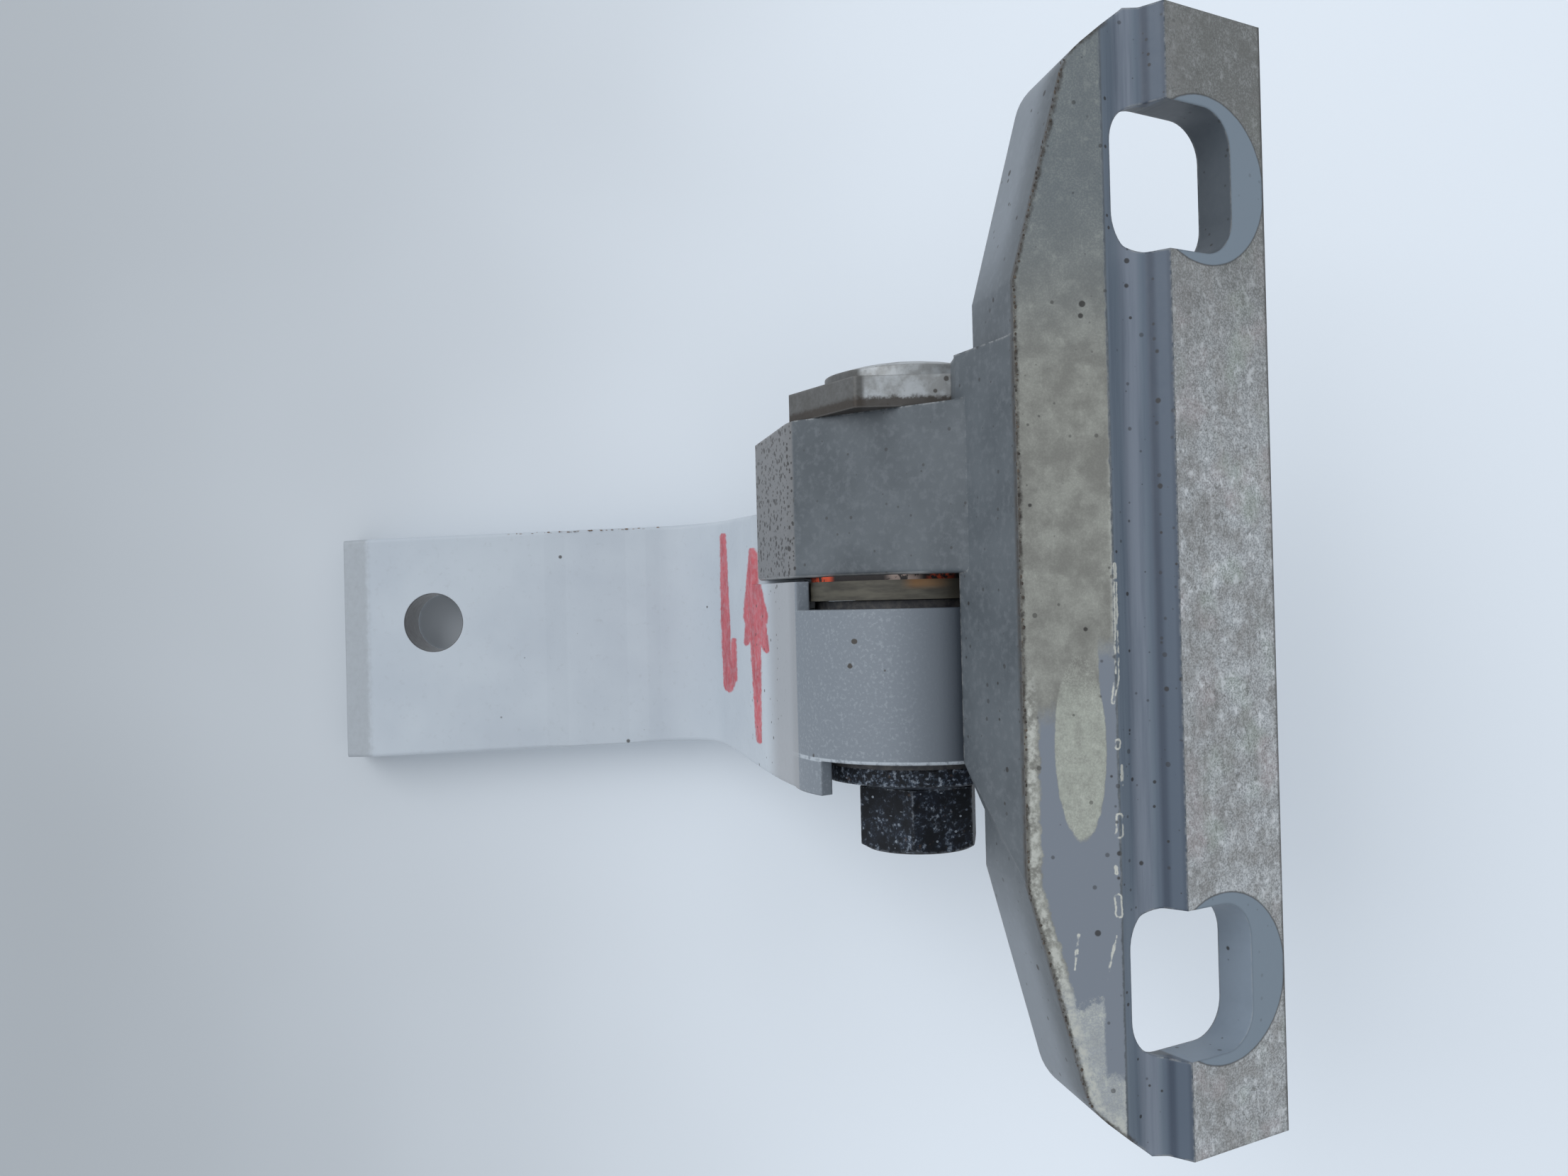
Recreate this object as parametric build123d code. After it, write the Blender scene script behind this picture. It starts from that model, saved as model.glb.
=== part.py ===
from build123d import *
from math import asin, cos, degrees, radians, sin, tan
import os

# Car door hinge: a forged body bracket with one ear, and a gooseneck door arm that turns on its pin.
# X runs along the door, Y points away from the pillar, Z runs up along the pivot axis.
# The origin is on the ridge of the mounting pad, midway between its two slots.

# Mounting pad of the body bracket
pad_length = 114.8
pad_depth = 11.0            # from the seat land to the flat back
land_left = -15.7           # left edge of the seat land, at its straight middle
land_straight = 60.0        # length of that straight middle
shoulder_left = -10.0       # left edge of the land where the end corner begins
shoulder_length = 104.4     # length over those corners
end_left = -3.4             # left end of the short straight end
side_draft = 2.4            # how far the side wall leans out over the depth
pad_corner = 6.0            # rounding of the outline where the ends begin
groove_left = -6.4
groove_depth = 1.6
groove_floor_left = -4.3
groove_floor_right = -2.1
groove_round = 0.9
flange_angle = 30.0         # the flange leans back from the land by this angle
flange_width = 13.8
flange_thickness = 4.4      # at the bolt seats
seat_start = -5.2           # where the bolt seat begins, along the flange from the ridge
seat_length = 24.0          # of each bolt seat, along Z
seat_wall_angle = 15.0

# Slots through the flange
slot_spacing = 80.4
slot_width = 13.6
slot_height = 14.9
slot_corner = 4.0
slot_offset = 2.2           # slot centre from the ridge, along the flange

# Shoulder that carries the ear
step_out = 2.1              # how far the shoulder stands out past the side wall, at the back
step_top = 24.7
step_bottom = -30.0
step_slope_start = -19.0
key_height = 4.6            # the key beside the pin head, above the ear
key_width = 9.0
key_clearance = 0.2

# Pivot
pivot_x = -23.6
pivot_y = 26.5

# Ear of the bracket, measured from the pivot axis
ear_bottom = 1.35
ear_top = 19.8
ear_front_distance = 11.1
ear_front_angle = 231.8     # direction that the flat front face looks in
ear_barrel_radius = 14.4
ear_corner_radius = 4.0
ear_slope = 7.4             # the top falls away by this angle beside the pin head
ear_slope_start = 12.0
ear_slope_direction = 160.0
ear_edge = 0.5
stop_angle = 147.6          # direction of the stop face, seen from the axis
stop_corner_radius = 0.8

# Door arm, measured from the pivot axis
eye_radius = 14.7
eye_bottom = -19.4
eye_top = -2.4
ramp_angle = 17.8           # lean of the gooseneck from the Y direction
ramp_thickness = 8.0
flat_offset = 34.7
flat_thickness = 7.0
flat_reach = 80.7
bend_radius = 10.0
arm_top_tip = 9.1           # heights of the arm's edges at its tip, at the bend and at the eye
arm_top_bend = 10.2
arm_top_eye = 9.8
arm_bottom_tip = -23.0
arm_bottom_bend = -21.4
arm_bottom_eye = -23.3
arm_edge = 0.5
lower_lip_angle = 217.0     # the lip under the eye ends in this direction
tip_bevel_length = 4.0
tip_bevel_depth = 1.4
coin_left = -50.7           # shallow pressed field on the flat
coin_right = -35.8
coin_depth = 0.2
coin_edge = 3.0             # length of its sloping sides
door_hole_diameter = 8.5
door_hole_x = -67.2
door_hole_z = -3.3
ear_clearance = 0.8         # arm to ear barrel
recess_clearance = 0.3      # arm to washer, above and below the eye
step_clearance = 0.45       # arm under the ear
stop_gap = 0.35

# Pin, bushes and washers
pin_diameter = 14.0
pin_fit = 0.03              # pin in the ear
running_fit = 0.05          # bushes on the pin
bush_wall = 1.5
bush_fit = 0.02             # bushes in the eye
bush_flange_radius = 11.8
bush_flange_thickness = 0.9
bush_gap = 1.0              # between the two sleeves
axial_play = 0.08
pin_head_across = 25.0
pin_head_height = 3.5
pin_head_corner = 0.5
dome_radius = 10.0
dome_edge_height = 1.6
dome_height = 3.2
washer_radius = 12.9
washer_thickness = 2.2
washer_clearance = 0.3
seal_radius = 12.2

# Retaining bolt
bolt_diameter = 8.0
bolt_length = 16.0
bolt_fit = 0.05
bolt_point = 1.0
bolt_flange_radius = 11.0
bolt_flange_height = 2.9
bolt_flange_lip = 1.9
bolt_head_across = 13.0
bolt_head_height = 7.4
bolt_head_turn = 19.0
bolt_head_chamfer = 0.7
bolt_socket_depth = 2.0     # free depth past the end of the bolt

# Worked out from the sizes above
pin_radius = pin_diameter / 2
sleeve_outer = pin_radius + bush_wall
eye_bore = sleeve_outer + bush_fit
recess_radius = washer_radius + recess_clearance
bush_top = eye_top + bush_flange_thickness
washer_bottom = bush_top + axial_play
washer_top = washer_bottom + washer_thickness
lower_flange_bottom = eye_bottom - bush_flange_thickness
pin_end = lower_flange_bottom - axial_play
sleeve_middle = (eye_top + eye_bottom) / 2
lean = radians(flange_angle)
along = Vector(cos(lean), sin(lean), 0)
outward = Vector(sin(lean), -cos(lean), 0)
pad_top = pad_length / 2
overlap = 1.0               # how far a cut runs past the face that it opens
through = 200.0             # longer than anything that it cuts


def polar(radius, angle):
    return Vector(radius * cos(radians(angle)), radius * sin(radians(angle)), 0)


def prism(points, bottom, top):
    outline = make_face(Polyline(*points, close=True))
    return Pos(0, 0, bottom) * extrude(outline, top - bottom)


def disc(radius, bottom, top):
    return Pos(0, 0, bottom) * extrude(Circle(radius), top - bottom)


def ring(outer, inner, bottom, top):
    return Pos(0, 0, bottom) * extrude(Circle(outer) - Circle(inner), top - bottom)


def nearest_vertex(shape, point):
    return min(shape.vertices(), key=lambda corner: (corner.center() - point).length)


def pad_section():
    # Cross-section of the pad: land, groove, ridge, leaning flange and flat back.
    front_right = along * flange_width
    back_right = front_right - outward * flange_thickness
    far_left = 2 * land_left
    groove = [
        Vector(groove_left, 0),
        Vector(groove_floor_left, groove_depth),
        Vector(groove_floor_right, groove_depth),
    ]
    points = [
        (far_left, 0),
        *groove,
        (0, 0),
        front_right,
        back_right,
        (back_right.X, pad_depth),
        (far_left, pad_depth),
    ]
    face = make_face(Polyline(*points, close=True))
    for corner in groove:
        face = fillet(nearest_vertex(face, corner), groove_round)
    return face


def bolt_seats():
    # Pockets in the back that leave the flange at its own thickness around each slot.
    foot = along * seat_start - outward * flange_thickness
    far = along * through - outward * flange_thickness
    wall_top = Vector(foot.X - (far.Y - foot.Y) * tan(radians(seat_wall_angle)), far.Y)
    middle = slot_spacing / 2
    half = seat_length / 2
    return [prism([foot, far, wall_top], side * middle - half, side * middle + half) for side in (1, -1)]


def pad_outline():
    # Front outline lofted to a back outline whose left side stands further out.
    right = 2 * flange_width
    faces = []
    for depth in (-overlap, pad_depth + flange_width):
        shift = -side_draft * depth / pad_depth
        half = [
            (land_left + shift, land_straight / 2),
            (shoulder_left + shift, shoulder_length / 2),
            (end_left + shift, pad_top),
            (right, pad_top),
        ]
        corners = half + [(x, -z) for x, z in reversed(half)]
        face = make_face(Polyline(*[(x, depth, z) for x, z in corners], close=True))
        for side in (1, -1):
            bend = Vector(shoulder_left + shift, depth, side * shoulder_length / 2)
            face = fillet(nearest_vertex(face, bend), pad_corner)
        faces.append(face)
    return loft(faces, ruled=True)


def slot_cutters():
    face_plane = Plane(origin=(0, 0, 0), x_dir=along, z_dir=outward)
    cutters = []
    for side in (1, -1):
        place = Pos(slot_offset, side * slot_spacing / 2)
        outline = face_plane * place * RectangleRounded(slot_width, slot_height, slot_corner)
        cutters.append(extrude(outline, pad_depth, both=True))
    return cutters


def shoulder():
    back_left = land_left - side_draft - step_out
    block = prism(
        [(land_left, 0), (groove_left, 0), (groove_left, pad_depth), (back_left, pad_depth)],
        step_bottom,
        step_top,
    )
    slope = Plane.XZ * make_face(Polyline(
        (back_left, step_slope_start),
        (land_left, step_bottom),
        (back_left, step_bottom),
        close=True,
    ))
    return block - extrude(slope, through, both=True)


def ear_outline():
    left_distance = eye_radius
    left_angle = 180 + ramp_angle
    front_normal = polar(1, ear_front_angle)
    left_normal = polar(1, left_angle)
    turn = sin(radians(ear_front_angle - left_angle))
    corner = Vector(
        (left_distance * front_normal.Y - ear_front_distance * left_normal.Y) / turn,
        (ear_front_distance * left_normal.X - left_distance * front_normal.X) / turn,
        0,
    )
    root_y = pad_depth / 2 - pivot_y
    root = Vector((ear_front_distance - root_y * front_normal.Y) / front_normal.X, root_y, 0)
    nose = polar(left_distance / cos(radians(left_angle - stop_angle)), stop_angle)
    stop_foot = polar(ear_barrel_radius, stop_angle)
    side = polar(ear_barrel_radius, 0)
    edges = [
        Line(root, corner),
        Line(corner, nose),
        Line(nose, stop_foot),
        ThreePointArc(stop_foot, polar(ear_barrel_radius, stop_angle / 2), side),
        Line(side, (side.X, root_y)),
        Line((side.X, root_y), root),
    ]
    face = make_face(edges)
    face = fillet(nearest_vertex(face, corner), ear_corner_radius)
    return fillet(nearest_vertex(face, nose), stop_corner_radius)


def ear_block():
    # The ear with its top falling away to the left of the pin head, and its long edges softened.
    block = Pos(0, 0, ear_bottom) * extrude(ear_outline(), ear_top - ear_bottom)
    falling = polar(1, ear_slope_direction)
    side_view = Plane(origin=(0, 0, 0), x_dir=falling, z_dir=(falling.Y, -falling.X, 0))
    drop = (through - ear_slope_start) * tan(radians(ear_slope))
    wedge = side_view * make_face(Polyline(
        (ear_slope_start, ear_top),
        (through, ear_top - drop),
        (through, ear_top + overlap),
        (ear_slope_start, ear_top + overlap),
        close=True,
    ))
    bottom_edges = block.edges().group_by(Axis.Z)[0]
    block = fillet(bottom_edges, ear_edge)
    return block - extrude(wedge, through, both=True)


def ear_key():
    flat = pin_head_across / 2 + key_clearance
    left = land_left - side_draft - step_out - pivot_x
    right = left + key_width
    root = pad_depth - pivot_y
    return prism([(left, root), (right, root), (right, -flat), (left, -flat)], ear_top, ear_top + key_height)


def body_bracket():
    pad = Pos(0, 0, -pad_top) * extrude(pad_section(), pad_length) & pad_outline()
    bore = disc(pin_radius + pin_fit, ear_bottom - overlap, ear_top + overlap)
    bracket = pad + shoulder() + Pos(pivot_x, pivot_y) * (ear_block() + ear_key())
    bracket -= Pos(pivot_x, pivot_y) * bore
    for cutter in slot_cutters() + bolt_seats():
        bracket -= cutter
    return bracket


def arm_outline():
    # The gooseneck from above: flat end, two bends and a ramp that meets the eye at a tangent.
    lean_sin = sin(radians(ramp_angle))
    lean_cos = cos(radians(ramp_angle))
    inner_distance = eye_radius - ramp_thickness
    flat_back = flat_offset + flat_thickness
    front_corner = Vector(-(eye_radius + flat_offset * lean_sin) / lean_cos, flat_offset, 0)
    back_corner = Vector(-(inner_distance + flat_back * lean_sin) / lean_cos, flat_back, 0)
    points = [
        polar(eye_radius, 180 + ramp_angle),
        front_corner,
        (tip_bevel_length - flat_reach, flat_offset),
        (-flat_reach, flat_offset + tip_bevel_depth),
        (-flat_reach, flat_back),
        back_corner,
        polar(inner_distance, 180 + ramp_angle),
    ]
    face = make_face(Polyline(*points, close=True))
    face = fillet(nearest_vertex(face, front_corner), bend_radius)
    return fillet(nearest_vertex(face, back_corner), bend_radius + flat_thickness)


def sector(radius, first, last):
    # A pie slice whose straight outer sides lie outside the radius.
    middle = (first + last) / 2
    far = radius / cos(radians((last - first) / 4))
    return make_face(Polyline((0, 0), polar(far, first), polar(far, middle), polar(far, last), close=True))


def arm_heights():
    # The arm from the front: it tapers evenly to the bend and widens again towards the eye.
    bend = -(eye_radius + flat_offset * sin(radians(ramp_angle))) / cos(radians(ramp_angle))
    start = -flat_reach - overlap
    lines = []
    for tip, middle, eye in (
        (arm_bottom_tip, arm_bottom_bend, arm_bottom_eye),
        (arm_top_tip, arm_top_bend, arm_top_eye),
    ):
        rise = (middle - tip) / (bend - start)
        bow = Spline((bend, middle), (-eye_radius, eye), tangents=[(1, rise), (1, 0)])
        lines += [Line((start, tip), (bend, middle)), bow, Line((-eye_radius, eye), (eye_radius, eye))]
    ends = [Line((x, arm_bottom), (x, arm_top)) for x, arm_bottom, arm_top in (
        (start, arm_bottom_tip, arm_top_tip),
        (eye_radius, arm_bottom_eye, arm_top_eye),
    )]
    return extrude(Plane.XZ * make_face(lines + ends), through, both=True)


def gooseneck():
    # The bent bar alone, with its long edges softened.
    bottom = arm_bottom_eye - overlap
    top = arm_top_bend + overlap
    bar = Pos(0, 0, bottom) * extrude(arm_outline(), top - bottom) & arm_heights()
    level = [edge for edge in bar.edges() if abs(edge.tangent_at(0.5).Z) < abs(edge.tangent_at(0.5).X)]
    return fillet([edge for edge in level if edge.center().X < -eye_radius], arm_edge)


def door_arm():
    ramp_direction = 180 + ramp_angle
    gap_turn = degrees(asin(stop_gap / (ear_barrel_radius + ear_clearance)))
    nose_radius = eye_radius / cos(radians(ramp_direction - stop_angle))
    notch = sector(nose_radius + overlap, stop_angle - gap_turn, ramp_direction)
    lip = Circle(eye_radius) & sector(eye_radius, stop_angle, lower_lip_angle)
    step = ear_bottom - step_clearance
    above = arm_top_bend + overlap
    arm = gooseneck()
    arm -= disc(recess_radius, arm_bottom_eye - overlap, eye_bottom)
    arm -= disc(recess_radius, eye_top, step)
    arm -= disc(ear_barrel_radius + ear_clearance, step, above)
    arm -= Pos(0, 0, step) * extrude(notch, above - step)
    arm += Pos(0, 0, arm_bottom_eye) * extrude(lip - Circle(recess_radius), eye_bottom - arm_bottom_eye)
    arm += disc(eye_radius, eye_bottom, eye_top)
    arm -= disc(eye_bore, eye_bottom - overlap, eye_top + overlap)
    coined = prism(
        [
            (coin_left, flat_offset),
            (coin_left + coin_edge, flat_offset + coin_depth),
            (coin_right - coin_edge, flat_offset + coin_depth),
            (coin_right, flat_offset),
        ],
        arm_bottom_eye,
        arm_top_bend,
    )
    hole = Plane.XZ * Pos(door_hole_x, door_hole_z) * Circle(door_hole_diameter / 2)
    return arm - coined - extrude(hole, through, both=True)


def bush(flange_from, flange_to, sleeve_end):
    bore = pin_radius + running_fit
    low, high = sorted((flange_from, flange_to))
    sleeve_low, sleeve_high = sorted((flange_from, sleeve_end))
    flange = ring(bush_flange_radius, bore, low, high)
    return flange + ring(sleeve_outer, bore, sleeve_low, sleeve_high)


def hinge_pin():
    head = Pos(0, 0, ear_top) * extrude(RegularPolygon(pin_head_across / 2, 6, major_radius=False), pin_head_height)
    head = fillet(head.edges().filter_by(Axis.Z), pin_head_corner)
    top = ear_top + pin_head_height
    rise = dome_height - dome_edge_height
    cap_radius = (dome_radius ** 2 + rise ** 2) / (2 * rise)
    half_turn = asin(dome_radius / cap_radius) / 2
    cap_middle = (cap_radius * sin(half_turn), top + dome_height - cap_radius * (1 - cos(half_turn)))
    crown = make_face([
        Line((0, top), (dome_radius, top)),
        Line((dome_radius, top), (dome_radius, top + dome_edge_height)),
        ThreePointArc((dome_radius, top + dome_edge_height), cap_middle, (0, top + dome_height)),
        Line((0, top + dome_height), (0, top)),
    ])
    dome = revolve(Plane.XZ * crown, Axis.Z)
    pin = head + dome + disc(pin_radius, pin_end, ear_top)
    return pin - disc(bolt_diameter / 2 + bolt_fit, pin_end - overlap, pin_end + bolt_length + bolt_socket_depth)


def retaining_bolt():
    seat = pin_end
    radius = bolt_diameter / 2
    flange_low = seat - bolt_flange_height
    profile = make_face(Polyline(
        (0, seat + bolt_length),
        (radius - bolt_point, seat + bolt_length),
        (radius, seat + bolt_length - bolt_point),
        (radius, seat),
        (bolt_flange_radius, seat),
        (bolt_flange_radius, seat - bolt_flange_lip),
        (bolt_head_across / 2, flange_low),
        (0, flange_low),
        close=True,
    ))
    body = revolve(Plane.XZ * profile, Axis.Z)
    head_low = flange_low - bolt_head_height
    hexagon = Rot(0, 0, bolt_head_turn) * RegularPolygon(bolt_head_across / 2, 6, major_radius=False)
    head = Pos(0, 0, head_low) * extrude(hexagon, bolt_head_height)
    corner = bolt_head_across / 2 / cos(radians(30))
    bevel_face = make_face(Polyline(
        (0, flange_low),
        (2 * corner, flange_low),
        (2 * corner, head_low + bolt_head_chamfer + corner * tan(lean)),
        (corner - bolt_head_chamfer / tan(lean), head_low),
        (0, head_low),
        close=True,
    ))
    return body + (head & revolve(Plane.XZ * bevel_face, Axis.Z))


parts = {
    "body_bracket": body_bracket(),
    "door_arm": Pos(pivot_x, pivot_y) * door_arm(),
    "hinge_pin": Pos(pivot_x, pivot_y) * hinge_pin(),
    "retaining_bolt": Pos(pivot_x, pivot_y) * retaining_bolt(),
    "upper_bush": Pos(pivot_x, pivot_y) * bush(eye_top, bush_top, sleeve_middle + bush_gap / 2),
    "lower_bush": Pos(pivot_x, pivot_y) * bush(eye_bottom, lower_flange_bottom, sleeve_middle - bush_gap / 2),
    "thrust_washer": Pos(pivot_x, pivot_y) * ring(
        washer_radius, pin_radius + washer_clearance, washer_bottom, washer_top
    ),
    "seal_washer": Pos(pivot_x, pivot_y) * ring(
        seal_radius, pin_radius + washer_clearance, washer_top, ear_bottom
    ),
}

os.makedirs("parts", exist_ok=True)
for name, solid in parts.items():
    export_step(solid, f"parts/{name}.step")
    print(name, round(solid.volume, 1))
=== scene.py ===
import math
from functools import reduce
from types import SimpleNamespace
import bpy
import bmesh
from mathutils import Matrix, Vector


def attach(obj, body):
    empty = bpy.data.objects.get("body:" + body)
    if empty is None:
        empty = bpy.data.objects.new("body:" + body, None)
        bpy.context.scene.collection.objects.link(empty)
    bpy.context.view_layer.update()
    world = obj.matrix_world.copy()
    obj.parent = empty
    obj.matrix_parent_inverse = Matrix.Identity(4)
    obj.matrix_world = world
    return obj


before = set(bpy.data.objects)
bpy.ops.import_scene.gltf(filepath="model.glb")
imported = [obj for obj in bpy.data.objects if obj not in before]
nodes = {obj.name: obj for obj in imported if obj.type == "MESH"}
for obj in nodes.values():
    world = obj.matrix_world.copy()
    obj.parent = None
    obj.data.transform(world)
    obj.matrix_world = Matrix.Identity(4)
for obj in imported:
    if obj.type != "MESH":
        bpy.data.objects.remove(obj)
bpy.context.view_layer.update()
scene = bpy.context.scene
mm = 0.001
print("frame loaded:", len(nodes), "nodes")


def srgb(r, g, b):
    # 0..255 as seen on the screen, to the linear values that a shader takes
    def one(v):
        v = v / 255
        return v / 12.92 if v <= 0.04045 else ((v + 0.055) / 1.055) ** 2.4
    return (one(r), one(g), one(b), 1.0)


# camera of the photograph, worked out from the outlines of the hinge
photoCamera = {
    "place": (-38.73, -125.13, -0.96),   # mm
    "yaw": -0.13,             # degrees
    "pitch": 0.46,
    "roll": -1.39,
    "lens": 29.1,
    "sensor": 36.0,
    "clip": 5.0,              # mm
}


def addCamera(c):
    yaw, pitch, roll = (math.radians(c[k]) for k in ("yaw", "pitch", "roll"))
    forward = Vector((math.sin(yaw) * math.cos(pitch), math.cos(yaw) * math.cos(pitch), math.sin(pitch)))
    right = Vector((math.cos(yaw), -math.sin(yaw), 0))
    up = right.cross(forward)
    rolledRight = math.cos(roll) * right + math.sin(roll) * up
    rolledUp = -math.sin(roll) * right + math.cos(roll) * up
    data = bpy.data.cameras.new("photoCamera")
    data.lens = c["lens"]
    data.sensor_width = c["sensor"]
    data.clip_start = c["clip"] * mm
    cam = bpy.data.objects.new("photoCamera", data)
    scene.collection.objects.link(cam)
    turn = Matrix((rolledRight, rolledUp, -forward)).transposed().to_4x4()
    cam.matrix_world = Matrix.Translation(Vector(c["place"]) * mm) @ turn
    scene.camera = cam


addCamera(photoCamera)
scene.view_settings.view_transform = "Standard"
print("camera placed")


class Finish:
    # a material under construction: pos is the place on the piece, in millimetres

    def __init__(self, name):
        self.mat = bpy.data.materials.new(name)
        self.mat.use_nodes = True
        self.tree = self.mat.node_tree
        self.tree.nodes.clear()
        self.out = self.tree.nodes.new("ShaderNodeOutputMaterial")
        self.shader = self.tree.nodes.new("ShaderNodeBsdfPrincipled")
        self.tree.links.new(self.shader.outputs[0], self.out.inputs[0])
        coord = self.tree.nodes.new("ShaderNodeTexCoord")
        scale = self.tree.nodes.new("ShaderNodeVectorMath")
        scale.operation = "SCALE"
        scale.inputs["Scale"].default_value = 1 / mm
        self.tree.links.new(coord.outputs["Object"], scale.inputs[0])
        self.pos = scale.outputs[0]
        split = self.tree.nodes.new("ShaderNodeSeparateXYZ")
        self.tree.links.new(self.pos, split.inputs[0])
        self.x, self.y, self.z = split.outputs

    def put(self, socket, value):
        if isinstance(value, bpy.types.NodeSocket):
            self.tree.links.new(value, socket)
        else:
            socket.default_value = value

    def math(self, operation, a, b=0.0, c=0.0):
        node = self.tree.nodes.new("ShaderNodeMath")
        node.operation = operation
        for socket, value in zip(node.inputs, (a, b, c)):
            self.put(socket, value)
        return node.outputs[0]

    def add(self, a, b):
        return self.math("ADD", a, b)

    def sub(self, a, b):
        return self.math("SUBTRACT", a, b)

    def mul(self, a, b):
        return self.math("MULTIPLY", a, b)

    def least(self, a, b):
        return self.math("MINIMUM", a, b)

    def most(self, a, b):
        return self.math("MAXIMUM", a, b)

    def size(self, a):
        # without its sign
        return self.math("ABSOLUTE", a)

    def flip(self, a):
        return self.math("SUBTRACT", 1.0, a)

    def nudge(self, value, noise, reach):
        # a place moved to and fro by a noise, for ragged edges
        return self.add(value, self.mul(noise, reach))

    def line(self, kx, ky, kz, offset=0.0):
        # kx x + ky y + kz z + offset, in millimetres
        value = offset
        for k, axis in ((kx, self.x), (ky, self.y), (kz, self.z)):
            if k:
                value = self.math("MULTIPLY_ADD", axis, k, value)
        return value

    def fade(self, value, low, high):
        # 0 below low, 1 above high
        node = self.tree.nodes.new("ShaderNodeMapRange")
        node.interpolation_type = "SMOOTHSTEP"
        for name, v in (("Value", value), ("From Min", low), ("From Max", high)):
            self.put(node.inputs[name], v)
        return node.outputs["Result"]

    def under(self, value, low, high):
        # 1 below low, 0 above high
        return self.flip(self.fade(value, low, high))

    def band(self, value, low, high, soft):
        # 1 between low and high
        return self.mul(self.fade(value, low - soft, low + soft), self.under(value, high - soft, high + soft))

    def distance(self, a, b):
        return self.math("SQRT", self.add(self.mul(a, a), self.mul(b, b)))

    def stroke(self, u, v, mark):
        # gap to the edge of a pen stroke: start, end, half width at both; below 0 inside
        u0, v0, u1, v1, w0, w1 = mark
        du, dv = u1 - u0, v1 - v0
        pu = self.sub(u, u0)
        pv = self.sub(v, v0)
        along = self.math("DIVIDE", self.add(self.mul(pu, du), self.mul(pv, dv)), du * du + dv * dv)
        along = self.least(self.most(along, 0.0), 1.0)
        gap = self.distance(self.sub(pu, self.mul(along, du)), self.sub(pv, self.mul(along, dv)))
        return self.sub(gap, self.level(along, w0, w1))

    def strokes(self, u, v, marks):
        return reduce(self.least, [self.stroke(u, v, mark) for mark in marks])

    def mapping(self, location, scale):
        place = self.tree.nodes.new("ShaderNodeMapping")
        place.inputs["Location"].default_value = location
        place.inputs["Scale"].default_value = scale
        self.tree.links.new(self.pos, place.inputs["Vector"])
        return place.outputs[0]

    def noise(self, size, detail=3.0, rough=0.55, stretch=(1, 1, 1), shift=0.0):
        # size is the width of one blot in millimetres
        place = self.mapping((shift, shift * 1.7, shift * 0.6), tuple(v / size for v in stretch))
        node = self.tree.nodes.new("ShaderNodeTexNoise")
        node.inputs["Scale"].default_value = 1.0
        node.inputs["Detail"].default_value = detail
        node.inputs["Roughness"].default_value = rough
        self.tree.links.new(place, node.inputs["Vector"])
        return node.outputs[0]

    def dots(self, spacing, radius, shift=0.0):
        # small round marks about one spacing apart, of any size up to the radius
        place = self.mapping((shift, shift * 0.7, shift * 1.3), (1 / spacing,) * 3)
        node = self.tree.nodes.new("ShaderNodeTexVoronoi")
        node.inputs["Scale"].default_value = 1.0
        self.tree.links.new(place, node.inputs["Vector"])
        tint = self.tree.nodes.new("ShaderNodeSeparateColor")
        self.tree.links.new(node.outputs["Color"], tint.inputs[0])
        size = self.mul(self.math("POWER", tint.outputs[0], 2.0), radius / spacing)
        soft = 0.2 * radius / spacing
        return self.fade(self.sub(size, node.outputs["Distance"]), -soft, soft)

    def tone(self, fac, low, high):
        # a colour between two, by a factor
        node = self.tree.nodes.new("ShaderNodeMix")
        node.data_type = "RGBA"
        self.put(node.inputs[0], fac)
        self.put(node.inputs[6], low)
        self.put(node.inputs[7], high)
        return node.outputs[2]

    def lay(self, base, color, mask, share):
        # a share of one colour over another, where the mask is 1
        return self.tone(self.mul(mask, share), base, color)

    def level(self, fac, low, high):
        # a number between two, by a factor
        node = self.tree.nodes.new("ShaderNodeMix")
        self.put(node.inputs[0], fac)
        self.put(node.inputs[2], low)
        self.put(node.inputs[3], high)
        return node.outputs[0]

    def softEdge(self, radius):
        # normals rounded over the edges, and how much of an edge a place is on
        node = self.tree.nodes.new("ShaderNodeBevel")
        node.samples = 6
        node.inputs["Radius"].default_value = radius * mm
        plain = self.tree.nodes.new("ShaderNodeNewGeometry")
        dot = self.tree.nodes.new("ShaderNodeVectorMath")
        dot.operation = "DOT_PRODUCT"
        self.tree.links.new(node.outputs[0], dot.inputs[0])
        self.tree.links.new(plain.outputs["Normal"], dot.inputs[1])
        edge = self.under(dot.outputs["Value"], 0.86, 0.995)
        return node.outputs[0], edge

    def upward(self):
        # 1 where the surface faces up
        node = self.tree.nodes.new("ShaderNodeNewGeometry")
        split = self.tree.nodes.new("ShaderNodeSeparateXYZ")
        self.tree.links.new(node.outputs["Normal"], split.inputs[0])
        return split.outputs[2]

    def bump(self, height, strength, depth, normal=None):
        node = self.tree.nodes.new("ShaderNodeBump")
        node.inputs["Strength"].default_value = strength
        node.inputs["Distance"].default_value = depth * mm
        self.tree.links.new(height, node.inputs["Height"])
        if normal is not None:
            self.tree.links.new(normal, node.inputs["Normal"])
        return node.outputs[0]

    def finish(self, color, rough, metal=0.0, normal=None):
        self.put(self.shader.inputs["Base Color"], color)
        self.put(self.shader.inputs["Roughness"], rough)
        self.put(self.shader.inputs["Metallic"], metal)
        if normal is not None:
            self.tree.links.new(normal, self.shader.inputs["Normal"])
        return self.mat


def dress(nodeName, material):
    piece = nodes[nodeName]
    piece.data.materials.clear()
    piece.data.materials.append(material)


# the leaning face beside the pin: left face of the ear, and the arm's ramp
leaningFace = {
    "pivot": (-23.6, 26.5),   # mm, x and y of the pin
    "lean": 17.8,             # degrees
    "reach": 14.7,            # mm from the pin's axis to the face
}


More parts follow.
